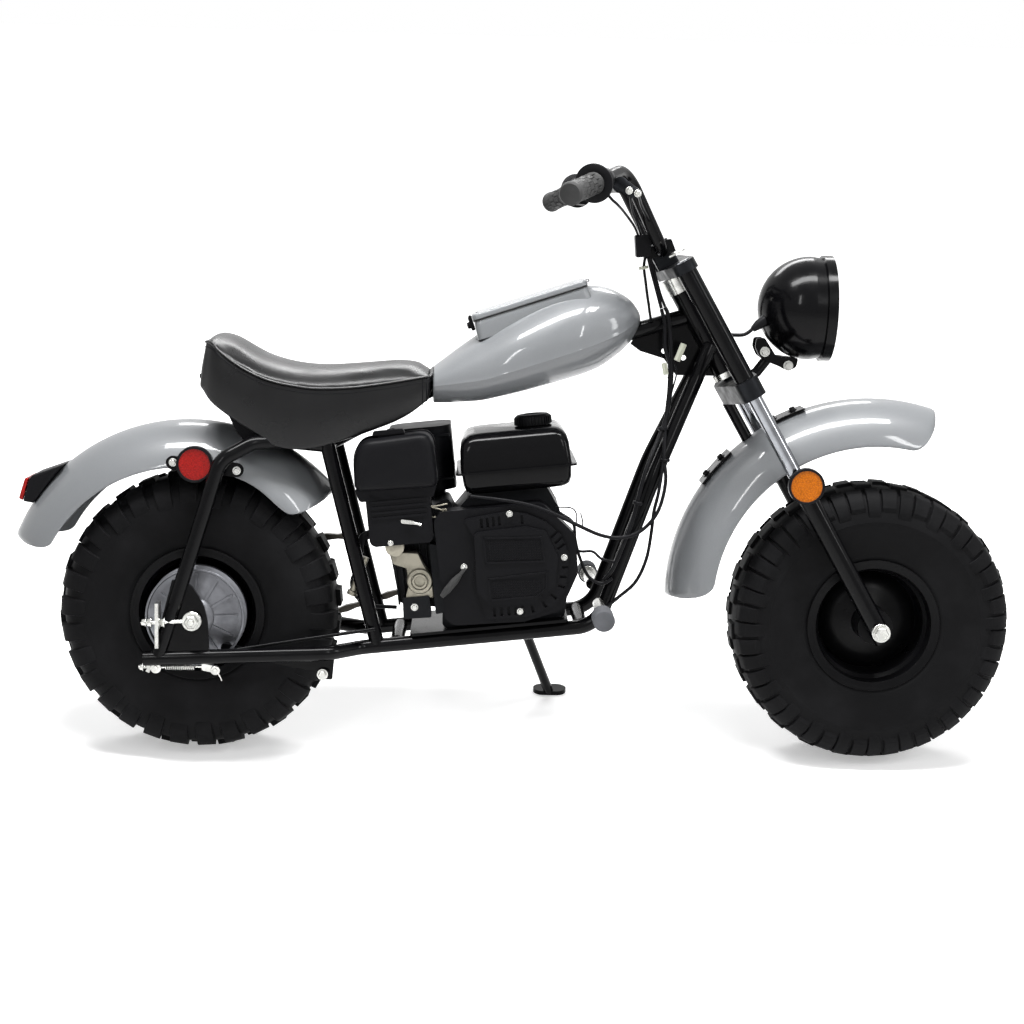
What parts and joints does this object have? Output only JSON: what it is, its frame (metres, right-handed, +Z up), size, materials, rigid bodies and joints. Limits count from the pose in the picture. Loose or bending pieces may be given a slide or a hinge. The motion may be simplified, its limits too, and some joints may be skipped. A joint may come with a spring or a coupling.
{
  "type": "minibike",
  "caption": "Off-road minibike with fat knobbly tyres, tube frame, open pull-start engine, straight fork, short humped seat and a lidded storage box, on its side stand.",
  "frame": {"origin": "under the middle of the bike's box, on the ground it is parked on", "axes": "+X forward, +Y to the rider's left, +Z up; the bike leans 8 degrees to +Y"},
  "size_m": [1.7192, 0.7478, 1.0355],
  "materials": {
    "gloss_black_paint": "gloss",
    "silver_paint": "satin metallic",
    "black_vinyl": "satin, fine grain",
    "chrome_plate": "polished",
    "zinc_plated_steel": "satin",
    "cast_aluminium": "as cast",
    "engine_black": "semi-gloss",
    "black_plastic": "matt",
    "tyre_rubber": "matt",
    "grip_rubber": "matt",
    "red_lens": "clear, prismatic",
    "amber_lens": "clear, prismatic",
    "lamp_glass": "fluted",
    "chain_steel": "oiled"
  },
  "bodies": {
    "frame": {"head_tube": "gloss_black_paint", "head_bearings": "zinc_plated_steel", "backbone": "gloss_black_paint", "down_tubes": "gloss_black_paint", "lower_rail_right": "gloss_black_paint", "lower_rail_left": "gloss_black_paint", "seat_posts": "gloss_black_paint", "frame_crossbars": "gloss_black_paint", "rear_stay_right": "gloss_black_paint", "rear_stay_left": "gloss_black_paint", "axle_plate_right": "gloss_black_paint", "axle_plate_left": "gloss_black_paint", "rear_axle": "zinc_plated_steel", "axle_spacers": "zinc_plated_steel", "brake_panel": "cast_aluminium", "torque_strap": "gloss_black_paint", "foot_pegs": "grip_rubber", "engine_mount": "engine_black", "crankcase": "cast_aluminium", "recoil_cover": "engine_black", "engine_tank": "engine_black", "air_cleaner": "black_plastic", "carburettor": "black_plastic", "throttle_cable": "black_plastic", "muffler": "zinc_plated_steel", "clutch": "zinc_plated_steel", "chain": "chain_steel", "stand_bracket": "gloss_black_paint", "rear_mudguard": "silver_paint", "tail_lamp": "black_plastic", "tail_lamp_lens": "red_lens", "mudguard_straps": "gloss_black_paint", "rear_reflectors": "red_lens", "seat": "black_vinyl", "storage_cover": "silver_paint"},
    "side_stand": {"side_stand": "gloss_black_paint"},
    "storage_lid": {"storage_lid": "silver_paint"},
    "steering": {"lower_yoke": "gloss_black_paint", "upper_yoke": "gloss_black_paint", "fork_covers": "gloss_black_paint", "fork_tubes": "chrome_plate", "fork_lower_legs": "gloss_black_paint", "front_axle": "zinc_plated_steel", "front_mudguard": "silver_paint", "mudguard_stay": "gloss_black_paint", "front_reflectors": "amber_lens", "handlebar": "gloss_black_paint", "grips": "grip_rubber", "control_housings": "black_plastic", "headlamp": "gloss_black_paint", "headlamp_lens": "lamp_glass", "headlamp_bracket": "zinc_plated_steel", "brake_lever": "cast_aluminium", "bar_cable": "black_plastic"},
    "front_wheel": {"front_tyre": "tyre_rubber", "front_rim": "gloss_black_paint"},
    "rear_wheel": {"rear_tyre": "tyre_rubber", "rear_rim": "gloss_black_paint", "rear_sprocket": "chain_steel"}
  },
  "joints": [
    {"name": "rear_wheel_spin", "type": "hinge", "parent": "frame", "child": "rear_wheel", "pos_m": [-0.53928, -0.10015, 0.24371], "axis": [0, 0.9903, -0.1392], "continuous": true},
    {"name": "steering", "type": "hinge", "parent": "frame", "child": "steering", "pos_m": [0.35658, -0.04054, 0.66783], "axis": [-0.5015, 0.1204, 0.8567], "range_deg": [-38, 38]},
    {"name": "front_wheel_spin", "type": "hinge", "parent": "steering", "child": "front_wheel", "pos_m": [0.61872, -0.10015, 0.24371], "axis": [0, 0.9903, -0.1392], "continuous": true},
    {"name": "side_stand_fold", "type": "hinge", "parent": "frame", "child": "side_stand", "pos_m": [0.02072, 0.0104, 0.18243], "axis": [0, 0.829, 0.5592], "range_deg": [0, 95]},
    {"name": "storage_lid_hinge", "type": "hinge", "parent": "frame", "child": "storage_lid", "pos_m": [0.1146, -0.01984, 0.81513], "axis": [0, 0.9903, -0.1392], "range_deg": [0, 80]}
  ]
}
